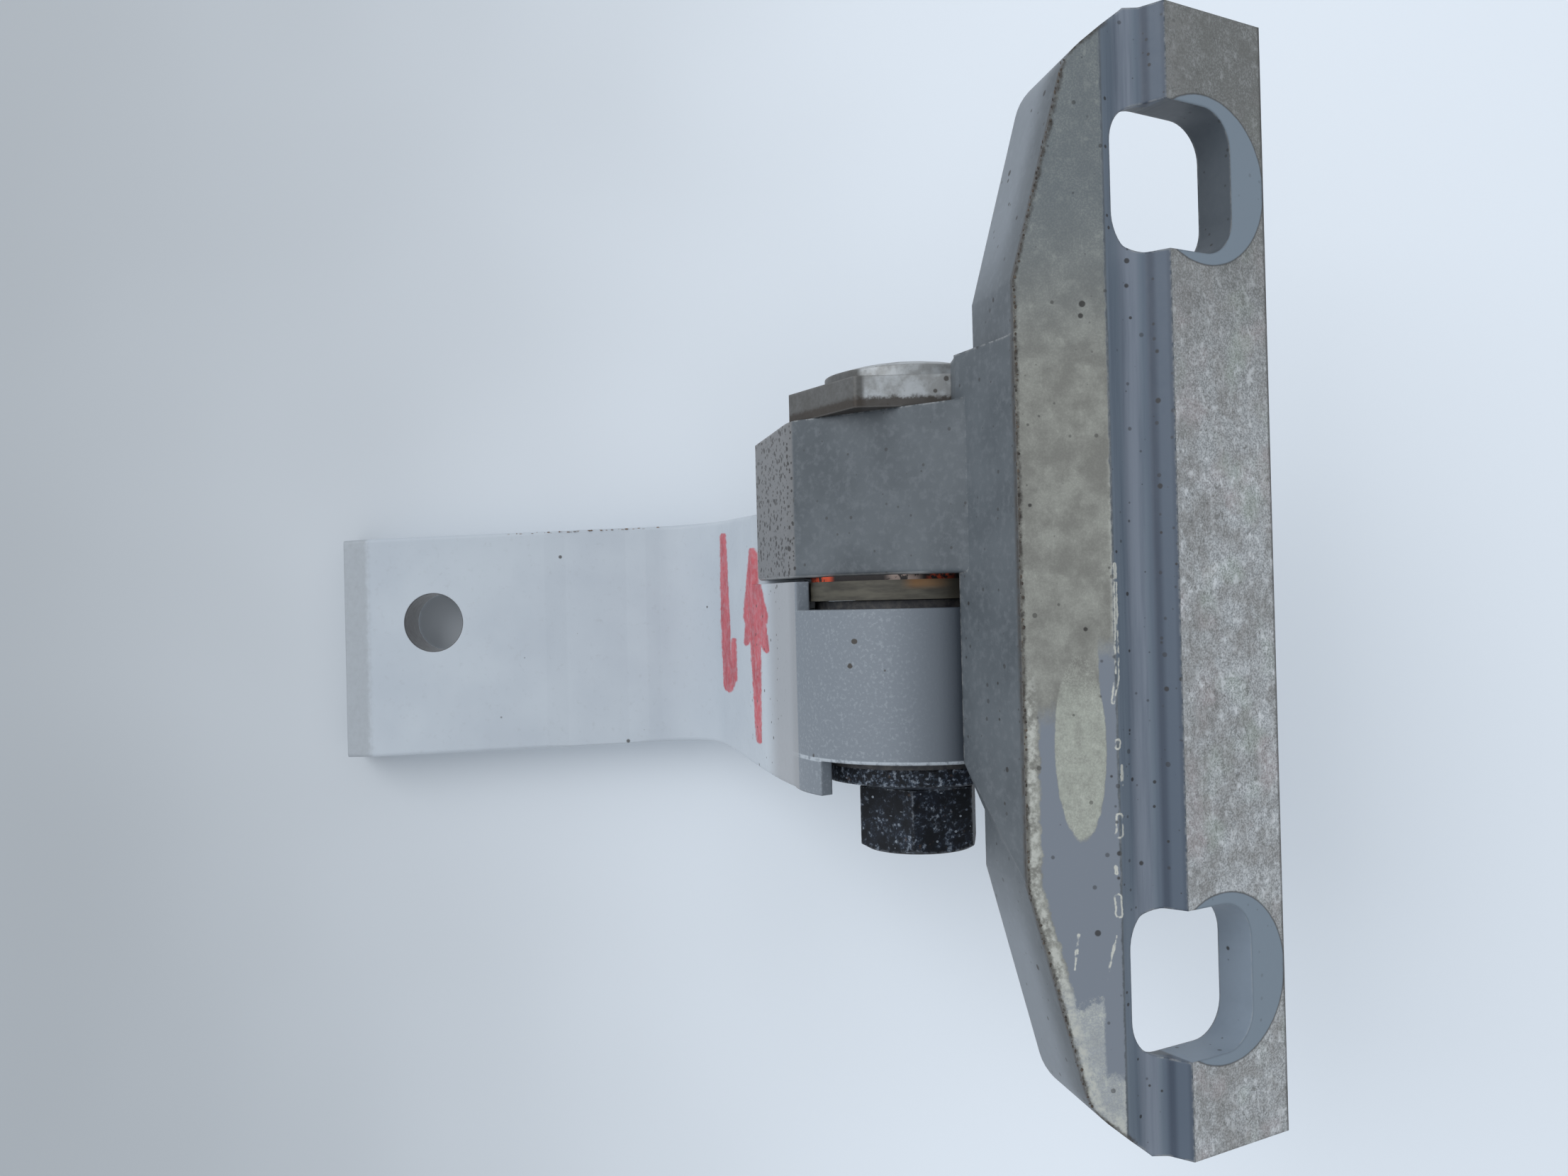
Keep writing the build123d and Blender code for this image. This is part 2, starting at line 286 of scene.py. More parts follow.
def gapToFace(f, face):
    # how far a place lies from the face, on either side
    lean = math.radians(face["lean"])
    px, py = face["pivot"]
    offset = face["reach"] - math.cos(lean) * px - math.sin(lean) * py
    return f.size(f.line(math.cos(lean), math.sin(lean), 0, offset))


def alongFace(f, face):
    # the way along the face, from beside the pin to the back
    lean = math.radians(face["lean"])
    px, py = face["pivot"]
    return f.line(-math.sin(lean), math.cos(lean), 0, math.sin(lean) * px - math.cos(lean) * py)


# body bracket: grey paint, bare where the pillar covered it; pairs are where a fade starts and ends, in mm
bracketLook = {
    "paint": srgb(84, 91, 97),
    "paintPale": srgb(98, 104, 110),
    "paintDeep": srgb(70, 77, 83),
    "noseDust": srgb(116, 117, 119),
    "endLit": srgb(126, 134, 143),
    "groove": srgb(98, 110, 123),
    "grooveFloorLit": srgb(112, 121, 134),
    "grooveShadeAndRuns": srgb(78, 90, 105),
    "grooveCreaseShade": srgb(52, 63, 79),
    "ringPaint": srgb(116, 130, 143),
    "slotUpperShade": srgb(68, 76, 84),
    "slotLowerLit": srgb(128, 142, 157),
    "patch": srgb(112, 120, 131),
    "zinc": srgb(164, 168, 171),
    "zincGlint": srgb(214, 217, 219),
    "zincDull": srgb(138, 138, 137),
    "zincBrown": srgb(104, 105, 102),
    "olive": srgb(140, 141, 135),
    "oliveTop": srgb(96, 104, 109),
    "oliveGlint": srgb(190, 194, 184),
    "oliveOval": srgb(158, 162, 153),
    "oliveDark": srgb(118, 118, 113),
    "crust": srgb(182, 184, 178),
    "endCrust": srgb(160, 166, 173),
    "pinkTint": srgb(176, 164, 166),
    "greenTint": srgb(158, 172, 160),
    "dirt": srgb(54, 50, 46),
    "speck": srgb(36, 33, 31),
    "worn": srgb(158, 161, 163),
    "edgeRadius": 0.45,
    "flangeLean": 30.0,               # degrees
    "faceDepth": (0.03, 0.12),        # what counts as on the seat or on the flange face
    "noseGap": (0.25, 0.5),           # dusty left face of the ear
    "noseFrom": (20.0, 21.0),
    "endFrom": (1.0, 6.5),            # painted light on the sides of the pad's two ends
    "endTo": (11.5, 12.0),
    "endHigh": (26.0, 38.0),
    "grooveSpan": (-6.4, 0.0),        # groove between the seat and the ridge, left to right
    "grooveDepth": (2.2, 2.6),
    "grooveShore": (-6.0, -5.5),
    "floorSpan": (-4.9, -2.9),
    "slopeStart": (-2.7, -1.95),
    "footSpan": (-2.0, -1.35),
    "ridgeStart": (-0.5, -0.1),
    "seatCorners": [(-15.7, 0.0), (-15.7, 30.0), (-10.0, 52.2), (-3.4, 57.4)],   # x and height, upwards
    "seatRight": (-6.7, -6.5),
    "ovalMiddle": (-10.15, -16.4),    # bare oval on the lower seat, x and z
    "ovalHalf": (2.6, 9.3),
    "ovalPaleTop": (-13.0, -8.0),
    "wedgeLeft": (-8.3, -8.1),        # painted wedge to the right of the oval
    "wedgeTop": (-8.5, -5.0),
    "patchInset": (1.3, 1.6),         # painted patch around and below the oval
    "patchTop": (-15.0, -11.5),
    "patchEnd": (-39.0, -38.2),
    "patchEndLean": -0.3,
    "slotPatchLeft": (-8.7, -8.3),    # painted patch beside the lower slot
    "slotPatchSpan": (-49.0, -38.0),
    "markLine": (0.05, 0.14),         # half width of the bare marks' outlines
    "markDepth": (0.25, 0.5),
    "oliveTopSpan": (18.0, 40.0),
    "seatLowEnd": (-42.0, -38.0),
    "leftCrust": (0.9, 1.5),
    "leftCrustTop": (-14.0, -6.0),
    "rightCrust": (-7.0, -6.6),
    "rightCrustTop": (6.0, 18.0),
    "flangeStart": (0.02, 0.14),
    "brownSpan": (12.0, 46.0),        # browner zinc towards the top
    "ridgeSide": (1.0, 5.0),
    "slotPlace": (5.15, 40.2),        # along the flange, and above or below the middle
    "ringEdge": (8.54, 8.66),         # painted ring around each slot
    "rimSpan": (8.52, 8.7),
    "slotReach": (8.9, 9.1),
    "slotMouth": (0.02, 0.1),
    "slotSplit": (-5.0, 5.0),
    "dirtWidth": (0.1, 0.5),
    "dirtDepth": (0.25, 0.9),
    "outerEdge": (13.35, 13.7),
    "earRim": (1.2, 1.6),             # worn lower rim of the ear
    "earFrom": (12.0, 13.0),
    "earRight": (-12.5, -11.5),
}

# bare rings and dashes where paint crept under the pillar, on the seat: x and z of start and end, half widths
bareMarks = [
    (-6.5, -16.0, -6.5, -16.4, 0.3, 0.25),
    (-6.1, -18.3, -6.1, -20.2, 0.07, 0.05),
    (-6.5, -23.3, -6.5, -25.0, 0.3, 0.36),
    (-7.0, -28.2, -6.95, -28.8, 0.06, 0.04),
    (-6.85, -31.2, -6.8, -32.8, 0.28, 0.32),
    (-6.3, 1.6, -6.35, -9.6, 0.1, 0.16),
    (-6.4, -9.6, -6.85, -12.0, 0.22, 0.1),
    (-10.85, -34.8, -11.3, -38.2, 0.03, 0.03),
    (-7.1, -35.0, -8.2, -39.4, 0.03, 0.03),
]


def bracketMasks(f, b):
    # noises and places that the bracket's finishes share
    lean = math.radians(b["flangeLean"])
    m = SimpleNamespace()
    m.along = f.line(math.cos(lean), math.sin(lean), 0)      # along the flange
    m.behind = f.line(-math.sin(lean), math.cos(lean), 0)    # behind the flange face
    m.high = f.size(f.z)
    m.broad = f.noise(9, 3)
    m.fine = f.noise(0.9, 5, 0.65)
    m.grain = f.noise(0.2, 3, 0.65)
    m.ragged = f.sub(f.noise(1.1, 4, 0.7, shift=3.1), 0.5)
    m.clusters = f.fade(f.noise(3.4, 5, 0.65, shift=1.7), 0.36, 0.66)
    # painted glints: bright specks from the grain and flakes stand in for the metal's sparkle, along with its
    # real grain
    flakes = f.noise(0.75, 5, 0.7, stretch=(1, 1, 0.8), shift=20.0)
    glint = f.most(f.mul(f.fade(m.grain, 0.46, 0.6), 0.6), f.mul(f.fade(flakes, 0.52, 0.64), 0.9))
    m.glint = f.mul(glint, f.level(m.clusters, 0.45, 1.0))
    m.dull = f.most(f.mul(f.under(m.grain, 0.36, 0.48), 0.4), f.mul(f.under(flakes, 0.34, 0.46), 0.5))
    m.nose = f.mul(f.under(gapToFace(f, leaningFace), *b["noseGap"]), f.fade(f.y, *b["noseFrom"]))
    m.inGroove = f.mul(f.band(f.x, *b["grooveSpan"], 0.12), f.under(f.y, *b["grooveDepth"]))
    return m


def insideOf(f, high, start, end):
    # gap to the line through two corners of the seat, above 0 inside
    dx, dz = end[0] - start[0], end[1] - start[1]
    length = math.hypot(dx, dz)
    offset = (dx * start[1] - dz * start[0]) / length
    return f.sub(f.line(dz / length, 0, 0, offset), f.mul(high, dx / length))


def seatMasks(f, b, m):
    # how far inside the seat a place is, and where the seat is painted or bare
    corners = b["seatCorners"]
    m.inside = reduce(f.least, [insideOf(f, m.high, *pair) for pair in zip(corners, corners[1:])])
    m.wavy = f.nudge(m.inside, m.ragged, 1.1)
    m.raggedZ = f.nudge(f.z, m.ragged, 3.0)
    m.onSeat = f.mul(f.under(f.y, *b["faceDepth"]), f.under(f.nudge(f.x, m.ragged, 0.5), *b["seatRight"]))
    (ovalX, ovalZ), (halfX, halfZ) = b["ovalMiddle"], b["ovalHalf"]
    oval = f.distance(f.line(1 / halfX, 0, 0, -ovalX / halfX), f.line(0, 0, 1 / halfZ, -ovalZ / halfZ))
    m.oval = f.under(f.nudge(oval, m.ragged, 0.14), 0.95, 1.01)

    wedge = f.mul(f.fade(f.nudge(f.x, m.ragged, 0.6), *b["wedgeLeft"]), f.under(m.raggedZ, *b["wedgeTop"]))
    lower = f.mul(f.fade(m.wavy, *b["patchInset"]), f.under(m.raggedZ, *b["patchTop"]))
    patch = f.mul(f.most(wedge, lower), f.flip(m.oval))
    patch = f.mul(patch, f.fade(f.nudge(f.line(b["patchEndLean"], 0, 1), m.ragged, 5.0), *b["patchEnd"]))
    besideSlot = f.fade(f.nudge(f.x, m.ragged, 0.8), *b["slotPatchLeft"])
    besideSlot = f.mul(besideSlot, f.band(m.raggedZ, *b["slotPatchSpan"], 0.5))
    m.bareSeat = f.mul(m.onSeat, f.flip(f.most(patch, besideSlot)))
    outlines = f.size(f.nudge(f.strokes(f.x, f.z, bareMarks), m.ragged, 0.5))
    m.outlines = f.mul(f.under(outlines, *b["markLine"]), f.fade(f.noise(0.9, 2, 0.5, shift=8.0), 0.36, 0.52))


def flangeMasks(f, b, m):
    # flange face: bare but for the painted ring around each slot
    slotAlong, slotHigh = b["slotPlace"]
    start = f.fade(f.nudge(m.along, m.ragged, 0.25), *b["flangeStart"])
    m.onFlange = f.mul(f.under(m.behind, *b["faceDepth"]), start)
    m.fromSlot = f.distance(f.sub(m.along, slotAlong), f.sub(m.high, slotHigh))
    m.fromSlot = f.nudge(m.fromSlot, m.ragged, 0.12)
    m.ring = f.under(m.fromSlot, *b["ringEdge"])
    m.rim = f.band(m.fromSlot, *b["rimSpan"], 0.08)
    m.bareFlange = f.mul(m.onFlange, f.flip(m.ring))


def bracketCoat(f, b, m):
    # paint with soft clouds, dusty on the left face of the ear, with painted light on the sides of the pad's
    # ends
    paint = f.tone(f.fade(m.broad, 0.3, 0.7), b["paintDeep"], b["paint"])
    paint = f.lay(paint, b["paintPale"], f.fade(m.fine, 0.45, 0.7), 0.6)
    paint = f.lay(paint, b["noseDust"], m.nose, f.level(m.fine, 0.5, 1.0))
    # painted light: the pad's side walls are paler towards both ends
    padEndsLit = f.mul(f.fade(f.y, *b["endFrom"]), f.under(f.y, *b["endTo"]))
    padEndsLit = f.mul(padEndsLit, f.fade(m.high, *b["endHigh"]))
    return f.lay(paint, b["endLit"], padEndsLit, f.level(m.fine, 0.55, 0.95))


def grooveCoat(f, b):
    # paint with run marks, painted light on the floor, and painted shade on the slope and along the foot of
    # the ridge
    runs = f.noise(1.2, 4, 0.6, stretch=(1.6, 1.6, 0.06))
    coat = f.tone(f.band(f.x, *b["floorSpan"], 0.35), b["groove"], b["grooveFloorLit"])
    coat = f.lay(coat, b["grooveShadeAndRuns"], f.fade(runs, 0.4, 0.7), 0.5)
    # painted shade on the slope up to the ridge and in the crease at its foot
    coat = f.tone(f.fade(f.x, *b["slopeStart"]), coat, b["grooveShadeAndRuns"])
    coat = f.lay(coat, b["grooveCreaseShade"], f.band(f.x, *b["footSpan"], 0.25), f.level(runs, 0.6, 1.0))
    return f.lay(coat, b["grooveCreaseShade"], f.fade(f.x, *b["ridgeStart"]), 0.55)


def seatMetal(f, b, m):
    # olive metal with painted glints, darker at the top, crusted along its sides and at the lower end
    metal = f.tone(m.clusters, b["oliveDark"], b["olive"])
    metal = f.lay(metal, b["oliveTop"], f.fade(f.z, *b["oliveTopSpan"]), 0.85)
    lowEnd = f.under(f.z, *b["seatLowEnd"])
    ovalPale = f.mul(m.oval, f.under(m.raggedZ, *b["ovalPaleTop"]))
    metal = f.lay(metal, b["oliveOval"], ovalPale, f.level(f.fade(m.fine, 0.35, 0.65), 0.45, 1.0))
    metal = f.lay(metal, b["endCrust"], lowEnd, f.level(m.fine, 0.4, 1.0))
    shine = f.most(f.mul(m.oval, 0.6), lowEnd)
    metal = f.lay(metal, b["oliveGlint"], m.glint, f.level(shine, 0.22, 0.9))
    leftCrust = f.mul(f.under(m.wavy, *b["leftCrust"]), f.under(f.z, *b["leftCrustTop"]))
    metal = f.lay(metal, b["crust"], leftCrust, f.fade(m.fine, 0.38, 0.6))
    rightCrust = f.mul(f.fade(f.nudge(f.x, m.ragged, 0.4), *b["rightCrust"]), f.fade(m.fine, 0.35, 0.6))
    rightCrust = f.mul(rightCrust, f.under(f.z, *b["rightCrustTop"]))
    return f.lay(metal, b["crust"], rightCrust, 0.6)


def flangeMetal(f, b, m):
    # crusted zinc with faint tints, hair lines, pits and painted glints, browner towards the top
    zinc = f.tone(m.clusters, b["zincDull"], b["zinc"])
    zinc = f.lay(zinc, b["pinkTint"], f.fade(f.noise(5.5, 2, 0.5, shift=4.4), 0.52, 0.7), 0.45)
    zinc = f.lay(zinc, b["greenTint"], f.fade(f.noise(6.0, 2, 0.5, shift=9.1), 0.52, 0.7), 0.4)
    hair = f.size(f.sub(f.noise(2.6, 2, 0.5, stretch=(1, 1, 0.5), shift=12.0), 0.5))
    hair = f.mul(f.under(hair, 0.004, 0.014), f.fade(f.noise(4.0, 2, 0.5, shift=15.0), 0.52, 0.6))
    zinc = f.lay(zinc, b["zincBrown"], hair, 0.6)
    upper = f.fade(f.nudge(f.z, f.sub(m.clusters, 0.5), 18.0), *b["brownSpan"])
    zinc = f.lay(zinc, b["zincBrown"], upper, 0.9)
    zinc = f.tone(m.dull, zinc, b["zincBrown"])
    zinc = f.lay(zinc, b["zincGlint"], m.glint, f.level(upper, 1.0, 0.3))
    nearRidge = f.mul(f.under(m.along, *b["ridgeSide"]), f.fade(m.fine, 0.4, 0.65))
    zinc = f.lay(zinc, b["zincDull"], nearRidge, 0.5)
    pits = f.fade(f.noise(0.55, 3, 0.6, shift=5.0), 0.6, 0.7)
    return f.lay(zinc, b["zincBrown"], pits, 0.6)


def bracketWear(f, b, m, color, edge):
    # dirt along the seat's left edge and the flange's outer edge, scattered specks, worn edges
    leftEdge = f.under(f.nudge(m.inside, m.ragged, 0.9), *b["dirtWidth"])
    leftEdge = f.mul(leftEdge, f.under(f.y, *b["dirtDepth"]))
    color = f.lay(color, b["dirt"], leftEdge, f.level(f.fade(m.fine, 0.35, 0.6), 0.45, 0.95))
    color = f.lay(color, b["dirt"], f.fade(f.nudge(m.along, m.ragged, 0.5), *b["outerEdge"]), 0.6)
    noseSpecks = f.most(f.dots(0.75, 0.38, 2.0), f.dots(0.45, 0.26, 6.0))
    specks = f.most(f.dots(2.6, 0.34, 0.4), f.mul(m.nose, noseSpecks))
    specks = f.most(specks, f.mul(f.dots(1.3, 0.26, 8.0), 0.65))
    specks = f.most(specks, f.mul(m.inGroove, f.dots(1.2, 0.22, 5.0)))
    specks = f.mul(specks, f.flip(f.mul(m.onFlange, 0.6)))
    color = f.lay(color, b["speck"], specks, 0.85)
    wear = f.mul(f.mul(edge, f.fade(m.fine, 0.4, 0.6)), f.flip(f.most(m.onSeat, m.onFlange)))
    nearSeat = f.mul(m.inGroove, f.under(f.x, *b["grooveShore"]))
    color = f.lay(color, b["worn"], wear, f.level(nearSeat, 0.75, 0.15))
    earRim = f.mul(f.fade(f.y, *b["earFrom"]), f.under(f.x, *b["earRight"]))
    earRim = f.mul(f.band(f.z, *b["earRim"], 0.08), earRim)
    return f.lay(color, b["worn"], earRim, f.level(m.fine, 0.2, 0.9))


def bracketPaint(b):
    f = Finish("bracketPaint")
    softNormal, edge = f.softEdge(b["edgeRadius"])
    m = bracketMasks(f, b)
    seatMasks(f, b, m)
    flangeMasks(f, b, m)
    color = f.tone(m.inGroove, bracketCoat(f, b, m), grooveCoat(f, b))
    color = f.tone(m.onSeat, color, b["patch"])
    color = f.tone(m.bareSeat, color, seatMetal(f, b, m))
    color = f.lay(color, b["crust"], m.outlines, f.under(f.y, *b["markDepth"]))
    color = f.tone(m.bareFlange, color, flangeMetal(f, b, m))
    color = f.lay(color, b["ringPaint"], m.ring, m.onFlange)
    color = f.lay(color, b["dirt"], f.mul(m.rim, m.onFlange), 0.6)
    # painted light and shade on the slot walls: the upper slot's wall in painted shade, the lower slot's in
    # painted light
    slotWall = f.mul(f.under(m.fromSlot, *b["slotReach"]), f.fade(m.behind, *b["slotMouth"]))
    slotWallShading = f.tone(f.fade(f.z, *b["slotSplit"]), b["slotLowerLit"], b["slotUpperShade"])
    color = f.lay(color, slotWallShading, slotWall, f.level(m.fine, 0.7, 1.0))
    color = bracketWear(f, b, m, color, edge)

    bare = f.most(m.bareSeat, m.bareFlange)
    rough = f.level(bare, f.level(m.fine, 0.42, 0.6), f.level(m.grain, 0.34, 0.62))
    metal = f.level(m.bareFlange, f.mul(m.bareSeat, 0.3), 0.4)
    relief = f.add(f.mul(m.grain, f.level(bare, 0.25, 0.9)), f.mul(m.fine, 0.5))
    relief = f.add(relief, f.mul(m.ring, 0.8))
    return f.finish(color, rough, metal, f.bump(relief, 0.35, 0.06, softNormal))


# door arm: pale paint, red pen marks on the ramp; pairs are where a fade starts and ends, in mm
armLook = {
    "paint": srgb(177, 186, 195),
    "paintDeep": srgb(169, 178, 188),
    "foot": srgb(144, 147, 152),
    "tip": srgb(139, 145, 151),
    "eye": srgb(112, 120, 129),
    "eyePale": srgb(132, 140, 148),
    "eyeShade": srgb(48, 56, 66),
    "speck": srgb(58, 54, 50),
    "rust": srgb(104, 74, 50),
    "hole": srgb(46, 44, 43),
    "red": srgb(182, 76, 86),
    "redDeep": srgb(160, 56, 66),
    "edgeRadius": 0.35,
    "tipSpan": (-101.0, -99.8),       # right end of the painted shade on the bevelled tip
    "eyeReach": (14.8, 15.2),         # from the pin's axis
    "eyeBack": (22.5, 27.5),
    "eyePaleSide": (-28.0, -21.0),
    "sideShadeBroad": (-29.0, -20.0),     # painted shade on the side of the eye beside the bracket
    "sideShadeClose": (-23.0, -19.3),
    "sideShadeEnd": (-18.5, -14.0),
    "eyeLowRim": (-19.5, -19.05),
    "rampGap": (0.5, 0.8),
    "rampStart": (0.5, 1.0),          # along the ramp, from beside the pin
    "rampFoot": (8.0, 14.0),
    "dustyMiddle": 13.0,
    "dustyHalf": (5.0, 9.0),
    "rustSpan": (-84.0, -55.0),       # along the top edge
    "rustFrom": (9.0, 9.6),
    "holePlace": (-90.8, -3.3),       # x and z
    "holeEdge": (4.27, 4.41),
}

# pen strokes as seen from the front: start, end, half width at both
redMarks = [
    (9.95, 7.9, 9.85, -4.0, 0.5, 0.75),
    (9.85, -4.0, 9.7, -13.0, 0.75, 0.7),
    (9.6, -13.2, 8.75, -11.8, 0.7, 0.55),
    (8.75, -11.8, 8.6, -6.6, 0.6, 0.4),
    (5.75, 5.4, 5.3, -3.2, 0.25, 1.75),
    (5.4, -3.2, 6.7, -6.8, 1.3, 0.35),
    (5.2, -3.2, 3.9, -7.4, 1.3, 0.4),
    (5.4, -3.2, 5.2, -19.2, 0.85, 0.4),
]

# two chips in the paint of the eye
eyeDots = [
    (-31.5, -5.9, -31.45, -5.9, 0.3, 0.3),
    (-32.0, -8.6, -32.0, -8.5, 0.28, 0.2),
]


def eyeCoat(f, a, fine, mottle):
    # greyer than the arm, finely mottled, with painted shade on the side beside the bracket
    eye = f.lay(a["eye"], a["eyePale"], mottle, f.mul(f.under(f.x, *a["eyePaleSide"]), 0.8))
    # painted shade: the eye darkens towards the bracket
    sideShade = f.add(f.mul(f.fade(f.x, *a["sideShadeBroad"]), 0.55), f.mul(f.fade(f.x, *a["sideShadeClose"]), 0.42))
    eye = f.lay(eye, a["eyeShade"], sideShade, f.under(f.x, *a["sideShadeEnd"]))
    lowRim = f.mul(f.band(f.z, *a["eyeLowRim"], 0.06), f.fade(fine, 0.35, 0.55))
    eye = f.lay(eye, a["paint"], lowRim, 0.7)
    return f.tone(f.under(f.strokes(f.x, f.z, eyeDots), -0.06, 0.06), eye, a["speck"])


def armPaint(a):
    f = Finish("armPaint")
    broad = f.noise(14, 3)
    fine = f.noise(0.8, 5, 0.65)
    grain = f.noise(0.3, 3, 0.6)
    mottle = f.fade(f.noise(0.36, 2, 0.6, shift=6.0), 0.5, 0.72)
    ragged = f.sub(f.noise(0.7, 4, 0.65, shift=2.2), 0.5)
    softNormal, edge = f.softEdge(a["edgeRadius"])
    color = f.tone(f.fade(broad, 0.3, 0.7), a["paintDeep"], a["paint"])
    color = f.lay(color, a["foot"], f.fade(fine, 0.55, 0.8), 0.3)
    # painted shade on the bevelled tip
    tip = f.under(f.nudge(f.x, ragged, 1.2), *a["tipSpan"])
    color = f.lay(color, a["tip"], tip, f.level(fine, 0.5, 0.95))
    pinX, pinY = leaningFace["pivot"]
    fromPin = f.distance(f.sub(f.x, pinX), f.sub(f.y, pinY))
    onEye = f.mul(f.under(fromPin, *a["eyeReach"]), f.under(f.y, *a["eyeBack"]))
    color = f.tone(onEye, color, eyeCoat(f, a, fine, mottle))

    # red pen on the ramp, drawn as it is seen from the front
    along = alongFace(f, leaningFace)
    onRamp = f.mul(f.under(gapToFace(f, leaningFace), *a["rampGap"]), f.fade(along, *a["rampStart"]))
    color = f.lay(color, a["foot"], f.mul(onRamp, f.under(along, *a["rampFoot"])), 0.8)
    gap = f.strokes(f.mul(along, math.sin(math.radians(leaningFace["lean"]))), f.z, redMarks)
    inked = f.mul(f.under(f.nudge(gap, ragged, 0.5), -0.12, 0.12), onRamp)
    inkCloud = f.noise(1.6, 4, 0.6, stretch=(1, 1, 0.4), shift=4.0)
    red = f.tone(f.fade(inkCloud, 0.35, 0.65), a["redDeep"], a["red"])
    color = f.lay(color, red, inked, f.level(f.fade(fine, 0.3, 0.6), 0.75, 0.97))

    # specks, rust on the top edge, painted shade in the hole
    dusty = f.mul(onRamp, f.under(f.size(f.sub(along, a["dustyMiddle"])), *a["dustyHalf"]))
    specks = f.most(f.dots(4.5, 0.34, 0.9), f.mul(dusty, f.dots(0.95, 0.22, 3.0)))
    color = f.lay(color, a["speck"], specks, 0.85)
    topEdge = f.mul(f.band(f.x, *a["rustSpan"], 3.0), f.mul(f.fade(f.z, *a["rustFrom"]), edge))
    color = f.lay(color, a["rust"], topEdge, f.fade(fine, 0.52, 0.6))
    holeX, holeZ = a["holePlace"]
    inHole = f.under(f.distance(f.sub(f.x, holeX), f.sub(f.z, holeZ)), *a["holeEdge"])
    color = f.lay(color, a["hole"], inHole, f.level(fine, 0.85, 1.0))
    rough = f.level(fine, 0.4, 0.56)
    relief = f.add(f.mul(grain, 0.4), f.add(fine, f.mul(f.mul(onEye, mottle), 0.6)))
    return f.finish(color, rough, 0.0, f.bump(relief, 0.25, 0.05, softNormal))


dress("body_bracket", bracketPaint(bracketLook))
dress("door_arm", armPaint(armLook))
print("bracket and arm painted")

# pin head: zinc, bright in front, darker on its left face, with a brown painted shadow along its foot
pinLook = {
    "zinc": srgb(172, 176, 179),
    "dull": srgb(142, 144, 144),
    "side": srgb(72, 71, 69),
    "dome": srgb(150, 150, 148),
    "stain": srgb(52, 44, 36),
    "speck": srgb(60, 54, 48),
    "edgeRadius": 0.4,
    "sideEnd": (-29.85, -29.15),      # corner between the left face and the front face
    "sideTurn": 0.02,
    "footShadowTop": (21.3, 21.9),
}


def pinZinc(p):
    f = Finish("pinZinc")
    fine = f.noise(0.6, 5, 0.7)
    cloud = f.noise(2.4, 4, 0.6, shift=1.0)
    softNormal, edge = f.softEdge(p["edgeRadius"])
    color = f.tone(f.fade(cloud, 0.38, 0.6), p["dull"], p["zinc"])
    leftSide = f.under(f.line(1, p["sideTurn"], 0), *p["sideEnd"])
    leftSide = f.mul(leftSide, f.under(f.upward(), 0.4, 0.8))
    color = f.lay(color, p["side"], leftSide, f.level(fine, 0.75, 1.0))
    # painted shadow, brown, along the foot of the head where it meets the ear
    color = f.lay(color, p["stain"], f.under(f.nudge(f.z, fine, 1.4), *p["footShadowTop"]), 0.9)
    color = f.lay(color, p["side"], f.fade(fine, 0.62, 0.74), 0.5)
    color = f.lay(color, p["speck"], f.dots(1.2, 0.3, 1.2), 0.8)
    color = f.lay(color, p["dome"], edge, 0.3)
    return f.finish(color, f.level(fine, 0.36, 0.6), 0.35, f.bump(fine, 0.3, 0.05, softNormal))


# bolt: black coat under a whitish bloom
boltLook = {
    "black": srgb(13, 16, 22),
    "blue": srgb(24, 29, 39),
    "bloom": srgb(152, 160, 170),
    "bloomBlue": srgb(74, 88, 106),
    "rust": srgb(86, 68, 54),
    "shine": 0.25,
    "edgeRadius": 0.5,
    "flangeFrom": (-23.6, -23.1),
}


def boltBlack(p):
    f = Finish("boltBlack")
    f.shader.inputs["Specular IOR Level"].default_value = p["shine"]
    fine = f.noise(0.55, 5, 0.7)
    cloud = f.noise(2.2, 5, 0.7, shift=2.0)
    softNormal, edge = f.softEdge(p["edgeRadius"])
    color = f.tone(f.fade(cloud, 0.4, 0.7), p["black"], p["blue"])
    flange = f.fade(f.z, *p["flangeFrom"])
    patchy = f.most(f.mul(f.fade(cloud, 0.44, 0.6), 0.75), f.mul(f.fade(cloud, 0.36, 0.5), flange))
    color = f.lay(color, p["bloomBlue"], f.fade(fine, 0.46, 0.62), f.mul(patchy, 0.7))
    color = f.lay(color, p["bloom"], f.mul(f.fade(fine, 0.54, 0.68), patchy), 0.85)
    color = f.lay(color, p["bloom"], edge, f.mul(f.fade(fine, 0.42, 0.6), 0.5))
    color = f.lay(color, p["rust"], f.fade(f.noise(1.5, 4, 0.6, shift=7.0), 0.64, 0.7), 0.4)
    return f.finish(color, f.level(fine, 0.4, 0.8), 0.0, f.bump(fine, 0.5, 0.08, softNormal))


# thrust washer in the slit: oily bronze, stained in front
washerLook = {
    "bronze": srgb(80, 77, 67),
    "oil": srgb(54, 51, 44),
    "stain": srgb(122, 82, 36),
    "stainSpan": (-25.5, -21.0),
    "stainFrom": (-0.5, 0.3),
    "darkerRight": (-24.0, -19.5),
}


def washerBronze(p):
    f = Finish("washerBronze")
    rings = f.noise(1.6, 4, 0.6, stretch=(0.3, 0.3, 1.6))
    cloud = f.noise(3.0, 4, 0.6, shift=3.0)
    color = f.tone(f.fade(rings, 0.35, 0.65), p["oil"], p["bronze"])
    stain = f.mul(f.band(f.x, *p["stainSpan"], 1.0), f.fade(f.z, *p["stainFrom"]))
    color = f.lay(color, p["stain"], stain, f.mul(f.fade(cloud, 0.3, 0.5), 0.6))
    # darker towards the right
    color = f.lay(color, p["oil"], f.fade(f.x, *p["darkerRight"]), 0.8)
    return f.finish(color, f.level(cloud, 0.4, 0.65), 0.2, f.bump(rings, 0.3, 0.05))


